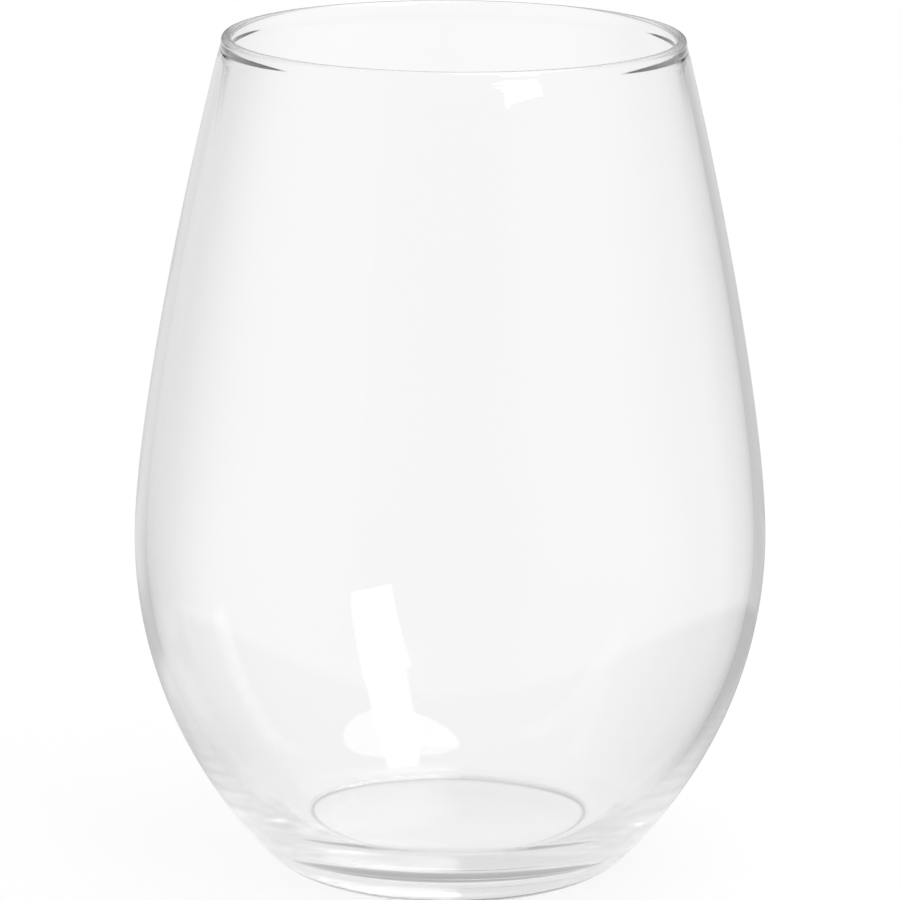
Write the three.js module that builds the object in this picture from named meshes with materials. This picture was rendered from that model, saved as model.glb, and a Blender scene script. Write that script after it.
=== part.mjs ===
// Stemless water glass of clear glass: moulded base, blown bowl and fire-polished rim.
// Millimetres, +Z up. The origin is the middle of the bearing ring that the glass stands on.
import * as THREE from 'three';

// Overall form
const HEIGHT = 118;
const BELLY_RADIUS = 44.35;
const BELLY_HEIGHT = 46.9;
const RIM_RADIUS = 32.1;

// Rim: a round bead that the flame leaves on the cut edge
const BEAD_THICKNESS = 1.5;
const RIM_DEPTH = 3;
const NECK_RUN = 1;
const RIM_LEAN_DEGREES = 14;

// Wall, measured level
const WALL_AT_RIM = 1.4;
const WALL_AT_BELLY = 1.6;
const WALL_START_ABOVE_FLOOR = 8;

// Sweep of the wall above the belly: how far it runs on in its own direction at each end
const BELLY_RISE = 14;
const SHOULDER_RUN = 23.7;

// Sweep of the wall below the belly, outside and inside
const BELLY_DROP = 24.7;
const HEEL_RUN = 6;
const INNER_BELLY_DROP = 25;
const FLOOR_CORNER_RUN = 8;

// Base: flat floor inside, round heel outside, and a ring underneath round a shallow recess
const BASE_THICKNESS = 4.2;
const FLOOR_RADIUS = 19.5;
const FOOT_RADIUS = 22;
const HEEL_FILLET = 7;
const HEEL_START_DEGREES = 8;
const HEEL_SLOPE_DEGREES = 47;
const BEARING_RING_WIDTH = 0.8;
const RECESS_STEP_WIDTH = 0.3;
const RECESS_STEP_HEIGHT = 0.3;
const RECESS_CROWN = 0.5;
const RECESS_RUN = 7;

// Finish
const GLASS_ROUGHNESS = 0.02;
const GLASS_OPACITY = 0.35;

// Facets
const SEGMENTS_AROUND = 64;
const BEAD_STEPS = 8;
const NECK_STEPS = 3;
const UPPER_WALL_STEPS = 9;
const LOWER_WALL_STEPS = 8;
const BASE_SIDE_STEPS = 4;
const HEEL_STEPS = 5;
const FLOOR_CORNER_STEPS = 6;
const RECESS_STEPS = 4;
const HALVINGS = 48;
const SAME_POINT = 1e-6;

const vec = (r, z) => new THREE.Vector2(r, z);
const heading = (angle, length) => vec(Math.cos(angle), Math.sin(angle)).multiplyScalar(length);
const UP = Math.PI / 2;

/** A curve that leaves `start` along one heading and arrives at `end` along another. */
function sweep(start, startAngle, startRun, end, endAngle, endRun) {
  const leave = start.clone().add(heading(startAngle, startRun));
  const arrive = end.clone().sub(heading(endAngle, endRun));
  return new THREE.CubicBezierCurve(start, leave, arrive, end);
}

/** Points of a curve between two parameters, both ends included. */
function sample(curve, steps, from = 0, to = 1) {
  const points = [];
  for (let i = 0; i <= steps; i += 1) {
    points.push(curve.getPoint(from + ((to - from) * i) / steps));
  }
  return points;
}

/** The parameter at which a rising curve passes a height. */
function parameterAtHeight(curve, z) {
  let low = 0;
  let high = 1;
  for (let i = 0; i < HALVINGS; i += 1) {
    const middle = (low + high) / 2;
    if (curve.getPoint(middle).y < z) low = middle;
    else high = middle;
  }
  return (low + high) / 2;
}

/** Points of a round stretch about a centre, from one angle to another. */
function arc(centre, radius, fromAngle, toAngle, steps) {
  const points = [];
  for (let i = 0; i <= steps; i += 1) {
    points.push(centre.clone().add(heading(fromAngle + ((toAngle - fromAngle) * i) / steps, radius)));
  }
  return points;
}

/** Joins stretches of a profile end to end and drops the doubled points where they meet. */
function chain(...stretches) {
  const points = [];
  for (const point of stretches.flat()) {
    const last = points.at(-1);
    if (!last || last.distanceTo(point) > SAME_POINT) points.push(point);
  }
  return points;
}

/** A closed solid turned about +Z. The profile runs anticlockwise seen with the axis on its left. */
function turned(name, profile, material) {
  const geometry = new THREE.LatheGeometry(profile, SEGMENTS_AROUND);
  geometry.rotateX(Math.PI / 2);
  const mesh = new THREE.Mesh(geometry, material);
  mesh.name = name;
  return mesh;
}

/** Clear glass, with the faint tint that a thicker stretch shows. */
function clearGlass(color) {
  return new THREE.MeshStandardMaterial({
    color,
    roughness: GLASS_ROUGHNESS,
    metalness: 0,
    transparent: true,
    opacity: GLASS_OPACITY,
  });
}

// Rim: where the bead sits and where the wall meets it
const rimLean = THREE.MathUtils.degToRad(RIM_LEAN_DEGREES);
const beadRadius = BEAD_THICKNESS / 2;
const beadCentre = vec(RIM_RADIUS - beadRadius, HEIGHT - beadRadius);
const rimStart = HEIGHT - RIM_DEPTH;
const wallMiddleAtRim = beadCentre.x + (beadCentre.y - rimStart) * Math.tan(rimLean);
const rimStartOuter = vec(wallMiddleAtRim + WALL_AT_RIM / 2, rimStart);
const rimStartInner = vec(wallMiddleAtRim - WALL_AT_RIM / 2, rimStart);
const wallAngleAtRim = UP + rimLean;

// Base: the ring that it stands on, the heel outside it, the recess inside it and the floor above
const heelStart = THREE.MathUtils.degToRad(HEEL_START_DEGREES);
const heelSlope = THREE.MathUtils.degToRad(HEEL_SLOPE_DEGREES);
const heelCentre = vec(FOOT_RADIUS, 0).sub(heading(heelStart - UP, HEEL_FILLET));
const heelArc = arc(heelCentre, HEEL_FILLET, heelStart - UP, heelSlope - UP, HEEL_STEPS);
const heelTop = heelArc.at(-1);
const ringInside = vec(FOOT_RADIUS - BEARING_RING_WIDTH, 0);
const recessEdge = vec(ringInside.x - RECESS_STEP_WIDTH, RECESS_STEP_HEIGHT);
const recessCrown = vec(0, RECESS_CROWN);
const floorMiddle = vec(0, RECESS_CROWN + BASE_THICKNESS);
const floorCorner = vec(FLOOR_RADIUS, floorMiddle.y);
const wallStart = floorMiddle.y + WALL_START_ABOVE_FLOOR;

// The wall's curves, all drawn upwards
const bellyOuter = vec(BELLY_RADIUS, BELLY_HEIGHT);
const bellyInner = vec(BELLY_RADIUS - WALL_AT_BELLY, BELLY_HEIGHT);
const lowerOuter = sweep(heelTop, heelSlope, HEEL_RUN, bellyOuter, UP, BELLY_DROP);
const lowerInner = sweep(floorCorner, 0, FLOOR_CORNER_RUN, bellyInner, UP, INNER_BELLY_DROP);
const upperOuter = sweep(bellyOuter, UP, BELLY_RISE, rimStartOuter, wallAngleAtRim, SHOULDER_RUN);
const upperInner = sweep(bellyInner, UP, BELLY_RISE, rimStartInner, wallAngleAtRim, SHOULDER_RUN);
const outerSplit = parameterAtHeight(lowerOuter, wallStart);
const innerSplit = parameterAtHeight(lowerInner, wallStart);

/** Bottom of the glass: recess, bearing ring, heel, and the floor up to the level where the wall starts. */
function base() {
  const recess = sweep(recessCrown, 0, RECESS_RUN, recessEdge, 0, RECESS_RUN);
  const underside = [...sample(recess, RECESS_STEPS), ringInside];
  const side = sample(lowerOuter, BASE_SIDE_STEPS, 0, outerSplit);
  const corner = sample(lowerInner, FLOOR_CORNER_STEPS, 0, innerSplit).reverse();
  return turned('base', chain(underside, heelArc, side, corner, [floorMiddle]), clearGlass(0xe6ecea));
}

/** Blown wall, from the base through the belly to the rim. */
function bowl() {
  const outside = [sample(lowerOuter, LOWER_WALL_STEPS, outerSplit, 1), sample(upperOuter, UPPER_WALL_STEPS)];
  const inside = [sample(lowerInner, LOWER_WALL_STEPS, innerSplit, 1), sample(upperInner, UPPER_WALL_STEPS)];
  const profile = chain(...outside, ...inside.reverse().map((stretch) => stretch.reverse()));
  return turned('bowl', [...profile, profile[0].clone()], clearGlass(0xf4f6f7));
}

/** Lip: a round bead with a short neck that runs down into the wall. */
function rim() {
  const beadOuter = vec(RIM_RADIUS, beadCentre.y);
  const beadInner = vec(RIM_RADIUS - BEAD_THICKNESS, beadCentre.y);
  const neckOuter = sweep(rimStartOuter, wallAngleAtRim, NECK_RUN, beadOuter, UP, NECK_RUN);
  const neckInner = sweep(rimStartInner, wallAngleAtRim, NECK_RUN, beadInner, UP, NECK_RUN);
  const crest = arc(beadCentre, beadRadius, 0, Math.PI, BEAD_STEPS);
  const profile = chain(sample(neckOuter, NECK_STEPS), crest, sample(neckInner, NECK_STEPS).reverse());
  return turned('rim', [...profile, profile[0].clone()], clearGlass(0xeef1f1));
}

const glass = new THREE.Group();
glass.name = 'water_glass';
glass.add(base(), bowl(), rim());

export default glass;
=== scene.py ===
"""Studio dress for a stemless water glass: one seamless body of clear glass on a pale floor.

Lengths in the classes are millimetres and angles are degrees. They become metres and radians where a
mesh, a lamp, a node or the camera is made. A profile point is a radius from the glass's axis and a height
above the floor. The glass stands on the origin, and the camera looks along +Y, so behind the glass means
towards +Y.
"""

import logging
import math
from dataclasses import dataclass, field
from enum import Enum

import bmesh
import bpy
from mathutils import Euler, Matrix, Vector, noise
from mathutils.geometry import interpolate_bezier


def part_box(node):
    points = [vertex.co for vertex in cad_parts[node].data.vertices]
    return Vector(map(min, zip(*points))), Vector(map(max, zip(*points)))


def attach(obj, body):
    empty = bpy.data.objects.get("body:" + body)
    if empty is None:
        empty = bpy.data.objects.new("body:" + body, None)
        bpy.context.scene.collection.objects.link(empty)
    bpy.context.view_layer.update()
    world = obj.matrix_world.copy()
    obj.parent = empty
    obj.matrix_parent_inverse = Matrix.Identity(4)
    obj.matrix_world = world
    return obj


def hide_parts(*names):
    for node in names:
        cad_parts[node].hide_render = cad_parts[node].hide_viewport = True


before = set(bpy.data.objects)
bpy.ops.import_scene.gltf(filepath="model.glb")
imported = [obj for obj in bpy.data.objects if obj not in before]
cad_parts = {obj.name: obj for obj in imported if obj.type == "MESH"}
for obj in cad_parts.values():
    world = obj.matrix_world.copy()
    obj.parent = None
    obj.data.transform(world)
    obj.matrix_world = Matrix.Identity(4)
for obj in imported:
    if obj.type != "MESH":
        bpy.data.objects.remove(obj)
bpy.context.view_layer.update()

LOG = logging.getLogger("water_glass")
MM = 0.001
UP = math.pi / 2
TURN = 2 * math.pi
TURN_DEGREES = 360
BODY = "root"
SLOT = "clear_glass"
SAME_POINT = 0.004

# A count of crossings or reflections is whole, so a test of it stands half-way between two counts.
HALF_COUNT = 0.5

Socket = bpy.types.NodeSocket
Feed = Socket | float | tuple[float, ...]
Setting = str | bpy.types.NodeTree
Ring = list[bmesh.types.BMVert]


class Side(Enum):
    """A face of the wall, as the sign of the step towards it from the middle of the wall."""

    OUTSIDE = 1
    INSIDE = -1


class Bearing(Enum):
    """Where a part of the studio stands round the glass, as degrees to the right of straight behind it."""

    FRONT_FROM_LEFT = -180
    FRONT_LEFT = -149
    LEFT_WING = -144
    LEFT_PANEL = -100
    LEFT_GAP = -60
    BEHIND_LEFT = -30
    BEHIND = 0
    RIGHT_GAP = 32
    RIGHT_PANEL = 95
    FRONT_FROM_RIGHT = 180


class Front(Enum):
    """The outline of a lamp's front, by Blender's own word for it."""

    OBLONG = "RECTANGLE"
    ROUND = "ELLIPSE"


def heading(angle: float, length: float) -> Vector:
    """A step of that length along an angle, in radians, in the plane of a profile."""
    return Vector((math.cos(angle), math.sin(angle))) * length


def arc(centre: Vector, radius: float, first: float, last: float, steps: int) -> list[Vector]:
    """Points of a round stretch of a profile.

    Args:
        centre: The middle of the circle.
        radius: The circle's own radius.
        first: The angle of the first point, in radians.
        last: The angle of the last point, in radians.
        steps: How many equal steps to take.

    Returns:
        The points in order, both ends included.
    """
    return [centre + heading(first + (last - first) * i / steps, radius) for i in range(steps + 1)]


def joined(points: list[Vector]) -> list[Vector]:
    """Leaves out the points that repeat the one before, where two stretches meet.

    Args:
        points: Points of a profile in order.

    Returns:
        The points that are apart.
    """
    kept = [points[0]]
    for point in points[1:]:
        if (point - kept[-1]).length > SAME_POINT:
            kept.append(point)
    return kept


@dataclass(frozen=True)
class Sweep:
    """A stretch of a profile that leaves one point along a heading and arrives at another along its own."""

    start: Vector
    start_angle: float
    start_run: float
    end: Vector
    end_angle: float
    end_run: float

    def points(self, steps: int) -> list[Vector]:
        """Points along the stretch.

        Args:
            steps: How many equal steps of the curve's parameter to take.

        Returns:
            The points in order, both ends included.
        """
        leave = self.start + heading(self.start_angle, self.start_run)
        arrive = self.end - heading(self.end_angle, self.end_run)
        knots = [knot.to_3d() for knot in (self.start, leave, arrive, self.end)]
        return [point.to_2d() for point in interpolate_bezier(*knots, steps + 1)]


@dataclass(frozen=True)
class GlassProfile:
    """Half section of the glass: its outside from the recess up to the lip, and its inside back down."""

    # Overall form
    height: float
    belly_radius: float
    rim_depth: float
    belly_height: float = 46.9
    rim_radius: float = 32.1

    # Lip: a round bead and the short neck under it
    bead_thickness: float = 1.5
    neck_run: float = 1.0
    rim_lean: float = 14.0

    # Wall: its thickness, and how far each curve runs on in its own direction at its ends
    wall_at_rim: float = 1.4
    wall_at_belly: float = 1.6
    belly_rise: float = 14.0
    shoulder_run: float = 23.7
    belly_drop: float = 24.7
    heel_run: float = 6.0
    inner_belly_drop: float = 25.0
    floor_corner_run: float = 8.0

    # Base: floor, heel, bearing ring and recess
    base_thickness: float = 4.2
    floor_radius: float = 19.5
    foot_radius: float = 22.0
    heel_fillet: float = 7.0
    heel_start: float = 8.0
    heel_slope: float = 47.0
    bearing_ring_width: float = 0.8
    recess_step_width: float = 0.3
    recess_step_height: float = 0.5
    recess_step_run: float = 0.1
    recess_crown: float = 0.5
    recess_run: float = 7.0

    # How finely each stretch is divided
    bead_steps: int = 24
    neck_steps: int = 10
    heel_steps: int = 24
    wall_steps: int = 60
    inner_wall_steps: int = 80
    floor_steps: int = 30
    recess_steps: int = 40
    recess_step_steps: int = 16

    @classmethod
    def from_frame(cls) -> "GlassProfile":
        """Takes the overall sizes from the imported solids.

        Returns:
            The profile of this glass.
        """
        rim_low, rim_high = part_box("rim")
        _, bowl_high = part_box("bowl")
        depth = rim_high[2] - rim_low[2]
        return cls(height=rim_high[2] / MM, belly_radius=bowl_high[0] / MM, rim_depth=depth / MM)

    def outside(self) -> list[Vector]:
        """The outer face, from the middle of the recess to the top of the bead."""
        crest = arc(self.bead_centre(), self.bead_thickness / 2, 0.0, UP, self.bead_steps // 2)
        return joined(self.underside() + self.heel() + self.outer_wall() + self.neck(Side.OUTSIDE) + crest)

    def inside(self) -> list[Vector]:
        """The inner face, from the top of the bead down to the middle of the floor."""
        crest = arc(self.bead_centre(), self.bead_thickness / 2, UP, math.pi, self.bead_steps // 2)
        return joined(crest + self.neck(Side.INSIDE)[::-1] + self.inner_wall() + self.floor())

    def underside(self) -> list[Vector]:
        """The shallow recess and the small step at its edge down to the bearing ring.

        Returns:
            The points outwards from the axis.
        """
        ring = Vector((self.foot_radius - self.bearing_ring_width, 0.0))
        edge = Vector((ring.x - self.recess_step_width, self.recess_step_height))
        crown = Vector((0.0, self.recess_crown))
        dome = Sweep(crown, 0.0, self.recess_run, edge, 0.0, self.recess_run)
        step = Sweep(edge, 0.0, self.recess_step_run, ring, 0.0, self.recess_step_run)
        return dome.points(self.recess_steps) + step.points(self.recess_step_steps)

    def heel(self) -> list[Vector]:
        """The rounded edge between the bearing ring and the outer wall.

        Returns:
            The points upwards from the ring.
        """
        first = math.radians(self.heel_start) - UP
        last = math.radians(self.heel_slope) - UP
        centre = Vector((self.foot_radius, 0.0)) - heading(first, self.heel_fillet)
        return arc(centre, self.heel_fillet, first, last, self.heel_steps)

    def outer_wall(self) -> list[Vector]:
        """The outside from the heel through the belly to the lip.

        Returns:
            The points upwards.
        """
        belly = Vector((self.belly_radius, self.belly_height))
        slope = math.radians(self.heel_slope)
        lower = Sweep(self.heel()[-1], slope, self.heel_run, belly, UP, self.belly_drop)
        return lower.points(self.wall_steps) + self.upper_wall(belly, Side.OUTSIDE)

    def inner_wall(self) -> list[Vector]:
        """The inside from the lip through the belly to the edge of the floor.

        Returns:
            The points downwards.
        """
        belly = Vector((self.belly_radius - self.wall_at_belly, self.belly_height))
        corner = Vector((self.floor_radius, self.floor_height()))
        lower = Sweep(corner, 0.0, self.floor_corner_run, belly, UP, self.inner_belly_drop)
        upper = self.upper_wall(belly, Side.INSIDE)
        return upper[::-1] + lower.points(self.inner_wall_steps)[::-1]

    def upper_wall(self, belly: Vector, side: Side) -> list[Vector]:
        """One face of the wall above the belly.

        Args:
            belly: Where the face starts.
            side: Which face it is.

        Returns:
            The points upwards, as far as the lip.
        """
        wall = Sweep(belly, UP, self.belly_rise, self.rim_start(side), self.lean(), self.shoulder_run)
        return wall.points(self.wall_steps)

    def neck(self, side: Side) -> list[Vector]:
        """One face of the lip below its bead.

        Args:
            side: Which face it is.

        Returns:
            The points upwards, from the wall to the side of the bead.
        """
        bead = self.bead_centre() + Vector((side.value * self.bead_thickness / 2, 0.0))
        face = Sweep(self.rim_start(side), self.lean(), self.neck_run, bead, UP, self.neck_run)
        return face.points(self.neck_steps)

    def floor(self) -> list[Vector]:
        """The flat floor inside, from its edge to the axis."""
        reach = [self.floor_radius * (1 - i / self.floor_steps) for i in range(self.floor_steps + 1)]
        return [Vector((radius, self.floor_height())) for radius in reach]

    def floor_height(self) -> float:
        """How high the floor inside lies."""
        return self.recess_crown + self.base_thickness

    def lean(self) -> float:
        """The heading of the wall where it meets the lip, in radians."""
        return UP + math.radians(self.rim_lean)

    def bead_centre(self) -> Vector:
        """The middle of the round bead on the lip."""
        radius = self.bead_thickness / 2
        return Vector((self.rim_radius - radius, self.height - radius))

    def rim_start(self, side: Side) -> Vector:
        """Where the lip begins on one face of the wall.

        Args:
            side: Which face it is.

        Returns:
            The point.
        """
        bead = self.bead_centre()
        height = self.height - self.rim_depth
        middle = bead.x + (bead.y - height) * math.tan(math.radians(self.rim_lean))
        return Vector((middle + side.value * self.wall_at_rim / 2, height))


@dataclass(frozen=True)
class BlownWaves:
    """The slight unevenness of the inner face, which blowing leaves mostly low in the wall."""

    depth: float = 0.03
    upper_depth: float = 0.004
    width: float = 11.0
    length: float = 17.0
    fade_low: float = 5.0
    full_low: float = 9.0
    full_high: float = 26.0
    fade_high: float = 46.0

    def depth_at(self, height: float) -> float:
        """How deep the waves are at a height.

        Args:
            height: The height above the floor.

        Returns:
            The depth, none at all on the floor of the glass.
        """
        rise = min(max((height - self.fade_low) / (self.full_low - self.fade_low), 0.0), 1.0)
        fall = min(max((self.fade_high - height) / (self.fade_high - self.full_high), 0.0), 1.0)
        return rise * (self.upper_depth + (self.depth - self.upper_depth) * fall)

    def push(self, place: Vector) -> float:
        """How far the inner face is pushed out at a place.

        Args:
            place: A point of the face, in metres.

        Returns:
            The push along the face's normal, in metres.
        """
        spot = place / MM
        wave = noise.noise(Vector((spot.x / self.width, spot.y / self.width, spot.z / self.length)))
        return wave * self.depth_at(spot.z) * MM


class Graph:
    """A node tree, with short words to add nodes and to join them."""

    def __init__(self, tree: bpy.types.NodeTree) -> None:
        """Starts on that tree, emptied."""
        self.tree = tree
        tree.nodes.clear()

    def add(
        self, kind: str, feeds: dict[str | int, Feed] | None = None, **settings: Setting
    ) -> bpy.types.Node:
        """Adds a node.

        Args:
            kind: The node's type.
            feeds: What goes into its inputs, by name or place. A socket is linked, and a value is set.
            settings: The node's own settings.

        Returns:
            The new node.
        """
        node = self.tree.nodes.new(kind)
        for name, value in settings.items():
            setattr(node, name, value)
        for name, value in (feeds or {}).items():
            if isinstance(value, Socket):
                self.tree.links.new(value, node.inputs[name])
            else:
                node.inputs[name].default_value = value
        return node

    def math(self, operation: str, *values: Feed) -> Socket:
        """Adds a sum on one or two numbers and gives its result."""
        return self.add("ShaderNodeMath", dict(enumerate(values)), operation=operation).outputs[0]

    def mix(self, share: Feed, first: Feed, second: Feed) -> Socket:
        """Blends two numbers and gives the result."""
        return self.add("ShaderNodeMix", {"Factor": share, "A": first, "B": second}).outputs["Result"]

    def distance(self, value: Feed, middle: float) -> Socket:
        """How far a number lies from a middle value, on either side."""
        return self.math("ABSOLUTE", self.math("SUBTRACT", value, middle))

    def above(self, count: Socket, whole: int) -> Socket:
        """Gives 1 where a count is above a whole number, and 0 elsewhere."""
        return self.math("GREATER_THAN", count, whole + HALF_COUNT)

    def ease(self, value: Feed, low: float, high: float, at_low: Feed, at_high: Feed) -> Socket:
        """Runs smoothly from one level to another as a number goes from low to high.

        Args:
            value: The number.
            low: Where the change starts.
            high: Where it ends.
            at_low: The level up to there.
            at_high: The level from there on.

        Returns:
            The level.
        """
        span = {"Value": value, "From Min": low, "From Max": high, "To Min": at_low, "To Max": at_high}
        return self.add("ShaderNodeMapRange", span, interpolation_type="SMOOTHSTEP").outputs["Result"]


@dataclass(frozen=True)
class ClearGlass:
    """Clear soda-lime glass: polished, with faint cords, and a trace of green where light runs far in it."""

    ior: float = 1.52
    transmission: float = 1.0
    clear: tuple[float, float, float, float] = (1.0, 1.0, 1.0, 1.0)
    tint: tuple[float, float, float, float] = (0.999, 1.0, 0.9995, 1.0)
    absorbed: tuple[float, float, float, float] = (0.70, 0.78, 0.75, 1.0)
    density: float = 0.3

    # Upright cords from the melt, a trace duller than the rest
    cord_size: float = 14.0
    cord_stretch: float = 0.35
    dull_from: float = 0.6
    dull_to: float = 0.8
    smoothest: float = 0.0
    roughest: float = 0.012

    # The foot, which the mould leaves less polished than the blown wall
    mould_dull: float = 0.05
    mould_full: float = 22.0
    mould_end: float = 34.0

    # Ripple too fine to feel
    ripple_size: float = 9.0
    ripple_depth: float = 0.004
    noise_detail: float = 1.0

    def material(self) -> bpy.types.Material:
        """Makes the glass material.

        Returns:
            The material, with its shader and its absorption.
        """
        material = bpy.data.materials.new(SLOT)
        material.use_nodes = True
        graph = Graph(material.node_tree)
        place = graph.add("ShaderNodeTexCoord").outputs["Object"]
        upright = graph.add("ShaderNodeMapping", {"Vector": place, "Scale": (1.0, 1.0, self.cord_stretch)})
        cords = self.noise(graph, upright.outputs["Vector"], self.cord_size)
        shades = {"Factor": cords, "A": self.clear, "B": self.tint}
        tint = graph.add("ShaderNodeMix", shades, data_type="RGBA")
        ripple = self.noise(graph, place, self.ripple_size)
        bump = graph.add("ShaderNodeBump", {"Height": ripple, "Distance": self.ripple_depth * MM})
        feeds = {
            "Base Color": tint.outputs["Result"],
            "Roughness": self.roughness(graph, place, cords),
            "IOR": self.ior,
            "Transmission Weight": self.transmission,
            "Normal": bump.outputs["Normal"],
        }
        shader = graph.add("ShaderNodeBsdfPrincipled", feeds)
        depth = graph.add("ShaderNodeVolumeAbsorption", {"Color": self.absorbed, "Density": self.density})
        ends = {"Surface": shader.outputs["BSDF"], "Volume": depth.outputs["Volume"]}
        graph.add("ShaderNodeOutputMaterial", ends)
        return material

    def roughness(self, graph: Graph, place: Socket, cords: Socket) -> Socket:
        """How rough the glass is: polished above, duller along the cords and at the moulded foot.

        Args:
            graph: The glass's node tree.
            place: The point of the glass.
            cords: How strongly a cord shows there.

        Returns:
            The roughness.
        """
        height = graph.add("ShaderNodeSeparateXYZ", {0: place}).outputs["Z"]
        drawn = graph.ease(cords, self.dull_from, self.dull_to, self.smoothest, self.roughest)
        low, high = self.mould_full * MM, self.mould_end * MM
        moulded = graph.ease(height, low, high, self.mould_dull, self.smoothest)
        return graph.math("MAXIMUM", drawn, moulded)

    def noise(self, graph: Graph, place: Socket, size: float) -> Socket:
        """Adds soft noise with spots of that size and gives its value from 0 to 1."""
        feeds = {"Vector": place, "Scale": 1 / (size * MM), "Detail": self.noise_detail}
        return graph.add("ShaderNodeTexNoise", feeds).outputs[0]


@dataclass
class WaterGlass:
    """The glass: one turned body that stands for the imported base, bowl and rim."""

    profile: GlassProfile = field(default_factory=GlassProfile.from_frame)
    waves: BlownWaves = field(default_factory=BlownWaves)
    finish: ClearGlass = field(default_factory=ClearGlass)
    segments: int = 192

    def build(self) -> bpy.types.Object:
        """Makes the glass, dresses it and hands it to the frame.

        Returns:
            The finished piece.
        """
        mesh = self.mesh()
        mesh.materials.append(self.finish.material())
        piece = bpy.data.objects.new("water_glass", mesh)
        bpy.context.scene.collection.objects.link(piece)
        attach(piece, BODY)
        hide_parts("base", "bowl", "rim")
        LOG.info("%s: %d vertices, replaces base, bowl and rim", piece.name, len(mesh.vertices))
        return piece

    def mesh(self) -> bpy.types.Mesh:
        """Turns the half section about the axis, and pushes the waves into its inner face.

        Returns:
            One closed smooth mesh.
        """
        shape = bmesh.new()
        outside = [self.ring(shape, point) for point in self.profile.outside()]
        inside = [self.ring(shape, point) for point in self.profile.inside()[1:]]
        rings = outside + inside
        for below, above in zip(rings, rings[1:]):
            self.band(shape, below, above)
        bmesh.ops.recalc_face_normals(shape, faces=shape.faces)
        shape.normal_update()
        for vertex in [vertex for ring in inside for vertex in ring]:
            vertex.co += vertex.normal * self.waves.push(vertex.co)
        for face in shape.faces:
            face.smooth = True
        mesh = bpy.data.meshes.new("water_glass")
        shape.to_mesh(mesh)
        shape.free()
        return mesh

    def ring(self, shape: bmesh.types.BMesh, point: Vector) -> Ring:
        """Turns one point of the profile about the axis.

        Args:
            shape: The mesh in the making.
            point: The point.

        Returns:
            A ring of vertices, or a single vertex on the axis.
        """
        radius, height = point * MM
        if radius < SAME_POINT * MM:
            return [shape.verts.new((0.0, 0.0, height))]
        turns = [TURN * i / self.segments for i in range(self.segments)]
        spots = [(radius * math.cos(turn), radius * math.sin(turn), height) for turn in turns]
        return [shape.verts.new(spot) for spot in spots]

    def band(self, shape: bmesh.types.BMesh, below: Ring, above: Ring) -> None:
        """Joins two rings with faces, which are triangles where one ring is a point.

        Args:
            shape: The mesh in the making.
            below: The ring that comes first along the profile.
            above: The ring that comes next.
        """
        for i in range(self.segments):
            first = [below[i % len(below)], below[(i + 1) % len(below)]]
            second = [above[(i + 1) % len(above)], above[i % len(above)]]
            shape.faces.new(list(dict.fromkeys(first + second)))


@dataclass(frozen=True)
class PhotoCamera:
    """The camera at the photograph's place: a long lens a little above the rim, looking slightly down."""

    distance: float = 700.0
    height: float = 229.0
    aside: float = -0.1
    pitch: float = 13.637
    roll: float = 0.458
    focal_px: float = 5134.6
    image_px: float = 900.0
    sensor: float = 36.0
    clip_end: float = 50.0

    def build(self) -> bpy.types.Object:
        """Places the camera and makes it the scene's own.

        Returns:
            The camera.
        """
        data = bpy.data.cameras.new("photo_camera")
        data.sensor_width = self.sensor
        data.sensor_fit = "HORIZONTAL"
        data.lens = self.focal_px / self.image_px * self.sensor
        data.clip_end = self.clip_end
        camera = bpy.data.objects.new("photo_camera", data)
        camera.location = Vector((self.aside, -self.distance, self.height)) * MM
        tilt = Euler((UP - math.radians(self.pitch), 0.0, 0.0)).to_matrix()
        roll = Euler((0.0, 0.0, math.radians(self.roll))).to_matrix()
        camera.rotation_euler = (tilt @ roll).to_euler()
        bpy.context.scene.collection.objects.link(camera)
        bpy.context.scene.camera = camera
        LOG.info("photo_camera: %.0f mm away", self.distance)
        return camera


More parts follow.
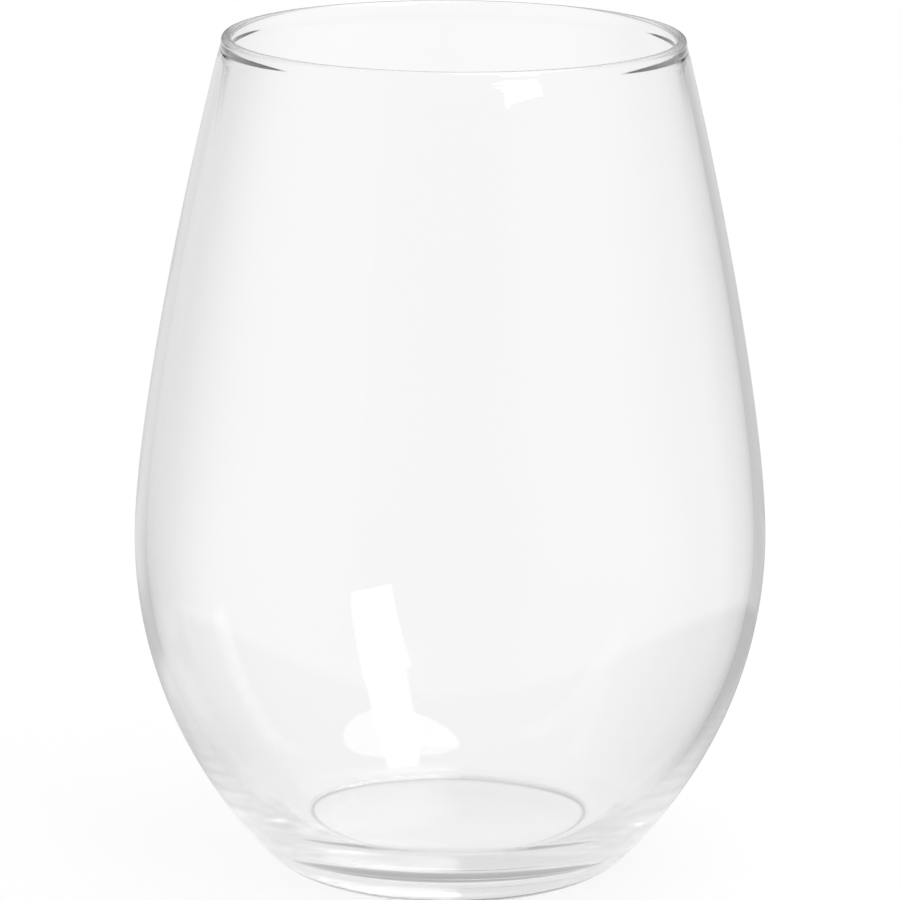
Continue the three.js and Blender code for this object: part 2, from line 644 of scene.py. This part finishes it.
@dataclass(frozen=True)
class Surround:
    """How light the studio is all round the glass: panels on both sides, darker gaps beside the backdrop.

    Light that was reflected more often than `calm_after` has lost its way round the wall, and sees one calm
    level.
    """

    front: float = 0.72
    left_wing: float = 0.84
    left_panel: float = 0.78
    left_gap: float = 0.45
    behind_left: float = 0.72
    behind: float = 0.82
    right_gap: float = 0.55
    right_panel: float = 0.9
    calm: float = 0.9
    calm_after: int = 3
    beyond: float = 0.06
    ramp_middle: float = 0.5
    group_name: str = "studio_surround"

    def levels(self) -> dict[Bearing, float]:
        """The level at each bearing.

        Returns:
            The levels in order round the glass, from the front by the left and the back to the front again.
        """
        return {
            Bearing.FRONT_FROM_LEFT: self.front,
            Bearing.FRONT_LEFT: self.front,
            Bearing.LEFT_WING: self.left_wing,
            Bearing.LEFT_PANEL: self.left_panel,
            Bearing.LEFT_GAP: self.left_gap,
            Bearing.BEHIND_LEFT: self.behind_left,
            Bearing.BEHIND: self.behind,
            Bearing.RIGHT_GAP: self.right_gap,
            Bearing.RIGHT_PANEL: self.right_panel,
            Bearing.FRONT_FROM_RIGHT: self.front,
        }

    def group(self) -> bpy.types.NodeTree:
        """Makes the node group that the floor and the sky share.

        Returns:
            The group: a place or direction goes in, and the level of the studio on that side comes out.
        """
        group = bpy.data.node_groups.new(self.group_name, "ShaderNodeTree")
        group.interface.new_socket("Direction", in_out="INPUT", socket_type="NodeSocketVector")
        group.interface.new_socket("Level", in_out="OUTPUT", socket_type="NodeSocketFloat")
        graph = Graph(group)
        start = graph.add("NodeGroupInput")
        split = graph.add("ShaderNodeSeparateXYZ", {0: start.outputs["Direction"]}).outputs
        bearing = graph.math("ARCTAN2", split["X"], split["Y"])
        along = graph.math("ADD", graph.math("DIVIDE", bearing, TURN), self.ramp_middle)
        ramp = graph.add("ShaderNodeValToRGB", {"Fac": along})
        ramp.color_ramp.interpolation = "EASE"
        stops = ramp.color_ramp.elements
        stops.remove(stops[1])
        for place, (side, level) in enumerate(self.levels().items()):
            at = self.ramp_middle + side.value / TURN_DEGREES
            stop = stops[0] if place == 0 else stops.new(at)
            stop.position = at
            stop.color = (level, level, level, 1.0)
        graph.add("NodeGroupOutput", {"Level": ramp.outputs["Color"]})
        return group

    def level(self, graph: Graph, way: Socket) -> Socket:
        """Adds the node group to a tree.

        Args:
            graph: The tree that needs the level.
            way: The place or direction.

        Returns:
            The level of the studio on that side.
        """
        group = bpy.data.node_groups.get(self.group_name) or self.group()
        return graph.add("ShaderNodeGroup", {"Direction": way}, node_tree=group).outputs["Level"]

    def by_reflections(
        self, graph: Graph, count: Socket, straight: Feed, mirrored: Feed, calm: Feed
    ) -> Socket:
        """Chooses a level by how often the light was reflected on its way.

        Args:
            graph: The tree that needs the level.
            count: How many reflections lie on the path.
            straight: The level with none of them.
            mirrored: The level with some of them.
            calm: The level with many of them.

        Returns:
            The level.
        """
        some = graph.above(count, 0)
        many = graph.above(count, self.calm_after)
        return graph.mix(many, graph.mix(some, straight, mirrored), calm)


@dataclass(frozen=True)
class FloorPoint:
    """The point of the floor that a ray meets and how it came there, as sockets of the floor's nodes."""

    place: Socket
    across: Socket
    along: Socket
    reach: Socket
    crossings: Socket
    reflections: Socket
    seen: Socket

    @classmethod
    def of(cls, graph: Graph) -> "FloorPoint":
        """Adds the nodes that tell about the point.

        Args:
            graph: The floor's node tree.

        Returns:
            The point.
        """
        place = graph.add("ShaderNodeNewGeometry").outputs["Position"]
        split = graph.add("ShaderNodeSeparateXYZ", {0: place}).outputs
        reach = graph.add("ShaderNodeVectorMath", {0: place}, operation="LENGTH").outputs["Value"]
        path = graph.add("ShaderNodeLightPath").outputs
        crossings, reflections = path["Transmission Depth"], path["Glossy Depth"]
        return cls(place, split["X"], split["Y"], reach, crossings, reflections, path["Is Camera Ray"])


@dataclass(frozen=True)
class ContactShade:
    """Painted shade where the bearing ring stands: a fine line through the glass, a band in reflections."""

    radius: float = 21.0
    line: float = 0.45
    line_core: float = 0.1
    line_reach: float = 0.7
    band: float = 0.4
    band_core: float = 1.5
    band_reach: float = 4.0

    def through(self, graph: Graph, point: FloorPoint) -> Socket:
        """How much light the fine line leaves, from its own level up to 1."""
        away = graph.distance(point.reach, self.radius * MM)
        return graph.ease(away, self.line_core * MM, self.line_reach * MM, self.line, 1.0)

    def mirrored(self, graph: Graph, point: FloorPoint, level: Socket) -> Socket:
        """Lays the band on a level.

        Args:
            graph: The floor's node tree.
            point: The point of the floor.
            level: The floor's level without the band.

        Returns:
            The level with the band.
        """
        away = graph.distance(point.reach, self.radius * MM)
        share = graph.ease(away, self.band_core * MM, self.band_reach * MM, 1.0, 0.0)
        return graph.mix(share, level, self.band)


@dataclass(frozen=True)
class GreyOblong:
    """A grey oblong with round corners on the floor round the glass. It shows in reflections only."""

    aside: float = 2.0
    behind: float = 15.0
    half_width: float = 143.0
    half_depth: float = 105.0
    squareness: float = 2.2
    edge: float = 0.06

    def outside(self, graph: Graph, point: FloorPoint) -> Socket:
        """Tells the oblong from the floor round it.

        Args:
            graph: The floor's node tree.
            point: The point of the floor.

        Returns:
            0 on the oblong and 1 off it, with a soft edge.
        """
        wide = graph.math("DIVIDE", graph.distance(point.across, self.aside * MM), self.half_width * MM)
        deep = graph.math("DIVIDE", graph.distance(point.along, self.behind * MM), self.half_depth * MM)
        powers = [graph.math("POWER", share, self.squareness) for share in (wide, deep)]
        outward = graph.math("POWER", graph.math("ADD", *powers), 1 / self.squareness)
        return graph.ease(outward, 1 - self.edge, 1 + self.edge, 0.0, 1.0)


@dataclass(frozen=True)
class PaleCard:
    """A pale card on the floor left of the glass, over the far left corner of the grey oblong.

    It dims towards the back. Light that ran inside the wall, and so crossed a face of the glass, sees it
    from `wall_shift` nearer the front and undimmed, as far as `wall_end` from the axis.
    """

    level: float = 0.85
    level_behind: float = 0.55
    left: float = -40.0
    right: float = 0.0
    start: float = 120.0
    end: float = 170.0
    corner_start: float = 25.0
    corner_end: float = 60.0
    wall_shift: float = 40.0
    wall_start: float = 75.0
    wall_end: float = 105.0

    def lay(self, graph: Graph, point: FloorPoint, shallow: Socket, around: Socket) -> tuple[Socket, Socket]:
        """Lays the card on the floor round the mat.

        Args:
            graph: The floor's node tree.
            point: The point of the floor.
            shallow: 1 where the light came from the near wall, and 0 where it came from further in.
            around: The floor's level without the card.

        Returns:
            How far the card covers the grey oblong, and the level of the floor with the card on it.
        """
        on_left = graph.ease(point.across, self.left * MM, self.right * MM, shallow, 0.0)
        crossed = graph.above(point.crossings, 0)
        in_wall = graph.ease(point.reach, self.wall_start * MM, self.wall_end * MM, crossed, 0.0)
        shift = graph.math("MULTIPLY", in_wall, self.wall_shift * MM)
        low, high = self.corner_start * MM, self.corner_end * MM
        corner = graph.ease(graph.math("ADD", point.along, shift), low, high, 0.0, on_left)
        dimmed = graph.ease(point.along, low, high, self.level, self.level_behind)
        on_card = graph.ease(point.reach, self.start * MM, self.end * MM, on_left, 0.0)
        return corner, graph.mix(on_card, around, graph.mix(in_wall, dimmed, self.level))


@dataclass(frozen=True)
class PaleFloor:
    """The floor: white to the eye and through the glass, and greyer where the glass mirrors it."""

    half_side: float = 3000.0
    gap: float = 0.2

    # To the eye: a glow, and paint that takes the shadow
    glow: float = 0.87
    paint: float = 0.13

    # Through the glass: nearly white with a painted shade near the glass, as far as the sweep behind it
    through_shaded_near: float = 0.95
    through_far: float = 0.965
    through_start: float = 20.0
    through_end: float = 220.0
    sweep_start: float = 1900.0
    sweep_end: float = 2300.0

    # In reflections: painted light under the glass, and a grey oblong that only the near wall shows
    mirrored_under_light: float = 0.9
    mirrored_near: float = 0.48
    under_start: float = 30.0
    under_end: float = 55.0
    near_crossings: int = 2

    # Painted shade round the bearing ring
    ring: ContactShade = field(default_factory=ContactShade)
    grey_oblong: GreyOblong = field(default_factory=GreyOblong)
    card: PaleCard = field(default_factory=PaleCard)

    def build(self, surround: Surround) -> bpy.types.Object:
        """Lays the floor just under the glass.

        Args:
            surround: The studio's level on each side.

        Returns:
            The floor.
        """
        side = self.half_side * MM
        corners = [(-side, -side, 0.0), (side, -side, 0.0), (side, side, 0.0), (-side, side, 0.0)]
        mesh = bpy.data.meshes.new("floor")
        mesh.from_pydata(corners, [], [(0, 1, 2, 3)])
        mesh.materials.append(self.material(surround))
        floor = bpy.data.objects.new("floor", mesh)
        floor.location.z = -self.gap * MM
        bpy.context.scene.collection.objects.link(floor)
        LOG.info("floor: %.1f m wide", 2 * side)
        return floor

    def material(self, surround: Surround) -> bpy.types.Material:
        """Makes the floor's material: one level for the eye, and others for light that the glass sends.

        Args:
            surround: The studio's level on each side.

        Returns:
            The material.
        """
        material = bpy.data.materials.new("pale_floor")
        material.use_nodes = True
        graph = Graph(material.node_tree)
        point = FloorPoint.of(graph)
        straight = self.straight(graph, point, surround)
        mirrored = self.mirrored(graph, point, surround)
        level = surround.by_reflections(graph, point.reflections, straight, mirrored, surround.calm)
        glass_view = graph.add("ShaderNodeEmission", {"Strength": level})
        glow = graph.add("ShaderNodeEmission", {"Strength": self.glow})
        paint = graph.add("ShaderNodeBsdfDiffuse", {"Color": (self.paint, self.paint, self.paint, 1.0)})
        open_view = graph.add("ShaderNodeAddShader", {0: glow.outputs[0], 1: paint.outputs[0]})
        views = {0: point.seen, 1: glass_view.outputs[0], 2: open_view.outputs[0]}
        both = graph.add("ShaderNodeMixShader", views)
        graph.add("ShaderNodeOutputMaterial", {"Surface": both.outputs[0]})
        return material

    def straight(self, graph: Graph, point: FloorPoint, surround: Surround) -> Socket:
        """The floor's level straight through the glass: nearly white, with painted shade.

        It is painted a little darker near the glass, and in a fine line where the bearing ring stands.

        Args:
            graph: The floor's node tree.
            point: The point of the floor.
            surround: The studio's level on each side.

        Returns:
            The level.
        """
        # Painted shade: the floor a little darker near the glass
        low, high = self.through_start * MM, self.through_end * MM
        through = graph.ease(point.reach, low, high, self.through_shaded_near, self.through_far)
        past = graph.ease(point.along, self.sweep_start * MM, self.sweep_end * MM, 0.0, 1.0)
        swept = graph.mix(past, through, surround.beyond)
        # Painted shade: a fine dark line where the bearing ring stands
        return graph.math("MULTIPLY", self.ring.through(graph, point), swept)

    def mirrored(self, graph: Graph, point: FloorPoint, surround: Surround) -> Socket:
        """The floor in reflections: painted light under the glass, a grey oblong, then the studio's own.

        Args:
            graph: The floor's node tree.
            point: The point of the floor.
            surround: The studio's level on each side.

        Returns:
            The level.
        """
        low, high = self.under_start * MM, self.under_end * MM
        # Painted light under the glass, fading to the grey of the oblong
        near = graph.ease(point.reach, low, high, self.mirrored_under_light, self.mirrored_near)
        # Painted shade: a band round the bearing ring, in reflections
        near = self.ring.mirrored(graph, point, near)
        deep_in = graph.above(point.crossings, self.near_crossings)
        shallow = graph.math("SUBTRACT", 1.0, deep_in)
        bare = graph.math("MULTIPLY", deep_in, graph.math("GREATER_THAN", point.reach, high))
        corner, far = self.card.lay(graph, point, shallow, surround.level(graph, point.place))
        off_oblong = graph.math("MAXIMUM", self.grey_oblong.outside(graph, point), bare)
        return graph.mix(graph.math("MAXIMUM", off_oblong, corner), near, far)


@dataclass(frozen=True)
class StudioSky:
    """What stands above the floor: white to the eye, and in reflections panels and a pale ceiling."""

    white: float = 1.0
    panel_gain: float = 1.25
    ceiling: float = 1.1
    ceiling_start: float = 0.25
    ceiling_end: float = 0.75

    # The dark room beyond the backdrop, by how far a direction points straight back
    back_start: float = 0.7
    back_end: float = 0.85
    back_inside: float = 0.22
    outer_crossings: int = 2

    # Light that ran round inside the wall: brighter to the front, and lost high up at the back
    front_start: float = 0.0
    front_end: float = 0.5
    front_calm: float = 1.15
    lost: float = 0.2
    lost_from: float = 8.0
    lost_to: float = 40.0
    lost_low: float = 0.35
    lost_high: float = 0.6

    def build(self, surround: Surround) -> bpy.types.World:
        """Makes the world.

        Args:
            surround: The studio's level on each side.

        Returns:
            The world, set on the scene.
        """
        world = bpy.data.worlds.new("studio")
        bpy.context.scene.world = world
        world.use_nodes = True
        graph = Graph(world.node_tree)
        way = graph.add("ShaderNodeTexCoord").outputs["Generated"]
        split = graph.add("ShaderNodeSeparateXYZ", {0: way}).outputs
        path = graph.add("ShaderNodeLightPath").outputs
        back = graph.ease(split["Y"], self.back_start, self.back_end, 0.0, 1.0)
        refracted = graph.math("MULTIPLY", back, path["Is Transmission Ray"])
        straight = graph.mix(refracted, self.white, surround.beyond)
        inside = graph.above(path["Transmission Depth"], self.outer_crossings)
        dark = graph.math("MULTIPLY", back, graph.mix(inside, 1.0, self.back_inside))
        panels = graph.math("MULTIPLY", surround.level(graph, way), self.panel_gain)
        share = graph.ease(split["Z"], self.ceiling_start, self.ceiling_end, 0.0, 1.0)
        room = graph.mix(dark, graph.mix(share, panels, self.ceiling), surround.beyond)
        count = path["Glossy Depth"]
        calm = self.calm(graph, split["Y"], split["Z"], count, surround)
        level = surround.by_reflections(graph, count, straight, room, calm)
        sky = graph.add("ShaderNodeBackground", {"Strength": level})
        graph.add("ShaderNodeOutputWorld", {"Surface": sky.outputs[0]})
        LOG.info("studio: panels all round and a pale ceiling")
        return world

    def calm(self, graph: Graph, back: Socket, up: Socket, count: Socket, surround: Surround) -> Socket:
        """The level for light that was reflected many times.

        Args:
            graph: The world's node tree.
            back: How far the direction points straight back, from -1 to 1.
            up: How far it points up, from -1 to 1.
            count: How many reflections lie on the path.
            surround: The studio's level on each side.

        Returns:
            The level.
        """
        aloft = graph.ease(up, self.lost_low, self.lost_high, surround.calm, self.lost)
        behind = graph.ease(count, self.lost_from, self.lost_to, surround.calm, aloft)
        from_back = graph.ease(back, self.front_start, self.front_end, 0.0, 1.0)
        return graph.mix(from_back, self.front_calm, behind)


@dataclass(frozen=True)
class Softbox:
    """A lamp: a soft panel aimed at the glass.

    Its place is given by degrees to the right of the front and above the floor. It is hidden from the
    camera, and from light that was reflected more often than `shown_until`.
    """

    name: str
    azimuth: float
    elevation: float
    width: float
    height: float
    radiance: float
    front: Front = Front.OBLONG
    shown_until: int = 12
    distance: float = 1500.0
    aim_height: float = 60.0

    def area(self) -> float:
        """How much front the lamp has, in square metres."""
        fullness = 1.0 if self.front is Front.OBLONG else math.pi / 4
        return self.width * self.height * MM * MM * fullness

    def build(self) -> bpy.types.Object:
        """Hangs the lamp, turned towards the glass.

        Returns:
            The lamp.
        """
        azimuth = math.radians(self.azimuth)
        elevation = math.radians(self.elevation)
        level = math.cos(elevation)
        aim = Vector((level * math.sin(azimuth), -level * math.cos(azimuth), math.sin(elevation)))
        data = bpy.data.lights.new(self.name, "AREA")
        data.shape = self.front.value
        data.size = self.width * MM
        data.size_y = self.height * MM
        data.energy = self.radiance * math.pi * self.area()
        data.use_nodes = True
        graph = Graph(data.node_tree)
        count = graph.add("ShaderNodeLightPath").outputs["Glossy Depth"]
        shown = graph.math("LESS_THAN", count, self.shown_until + HALF_COUNT)
        glow = graph.add("ShaderNodeEmission", {"Strength": shown})
        graph.add("ShaderNodeOutputLight", {"Surface": glow.outputs[0]})
        lamp = bpy.data.objects.new(self.name, data)
        lamp.location = aim * self.distance * MM + Vector((0.0, 0.0, self.aim_height * MM))
        lamp.rotation_euler = aim.to_track_quat("Z", "Y").to_euler()
        lamp.visible_camera = False
        bpy.context.scene.collection.objects.link(lamp)
        LOG.info("%s: %.0f by %.0f mm", self.name, self.width, self.height)
        return lamp


def tall_softbox() -> Softbox:
    """The tall panel in front of the glass, on the right."""
    return Softbox("tall_softbox", azimuth=34.35, elevation=32.3, width=467.0, height=720.0, radiance=4.0)


def overhead_softbox() -> Softbox:
    """The round panel above the glass, on the right."""
    sizes = {"azimuth": 84.6, "elevation": 73.5, "width": 1080.0, "height": 1080.0, "radiance": 2.4}
    return Softbox("overhead_softbox", front=Front.ROUND, **sizes)


@dataclass
class Studio:
    """The pale floor, the sky and two lamps, with bounces enough for light that runs round in the wall."""

    surround: Surround = field(default_factory=Surround)
    floor: PaleFloor = field(default_factory=PaleFloor)
    sky: StudioSky = field(default_factory=StudioSky)
    tall: Softbox = field(default_factory=tall_softbox)
    overhead: Softbox = field(default_factory=overhead_softbox)
    bounces: int = 1024

    def build(self) -> None:
        """Sets the studio up."""
        scene = bpy.context.scene
        scene.view_settings.view_transform = "Standard"
        scene.cycles.max_bounces = self.bounces
        scene.cycles.glossy_bounces = self.bounces
        scene.cycles.transmission_bounces = self.bounces
        self.floor.build(self.surround)
        self.sky.build(self.surround)
        self.tall.build()
        self.overhead.build()


def main() -> None:
    """Builds the camera, the studio and the glass, in that order."""
    logging.basicConfig(level=logging.INFO, format="%(message)s")
    for part in (PhotoCamera(), Studio(), WaterGlass()):
        part.build()


if __name__ == "__main__":
    main()
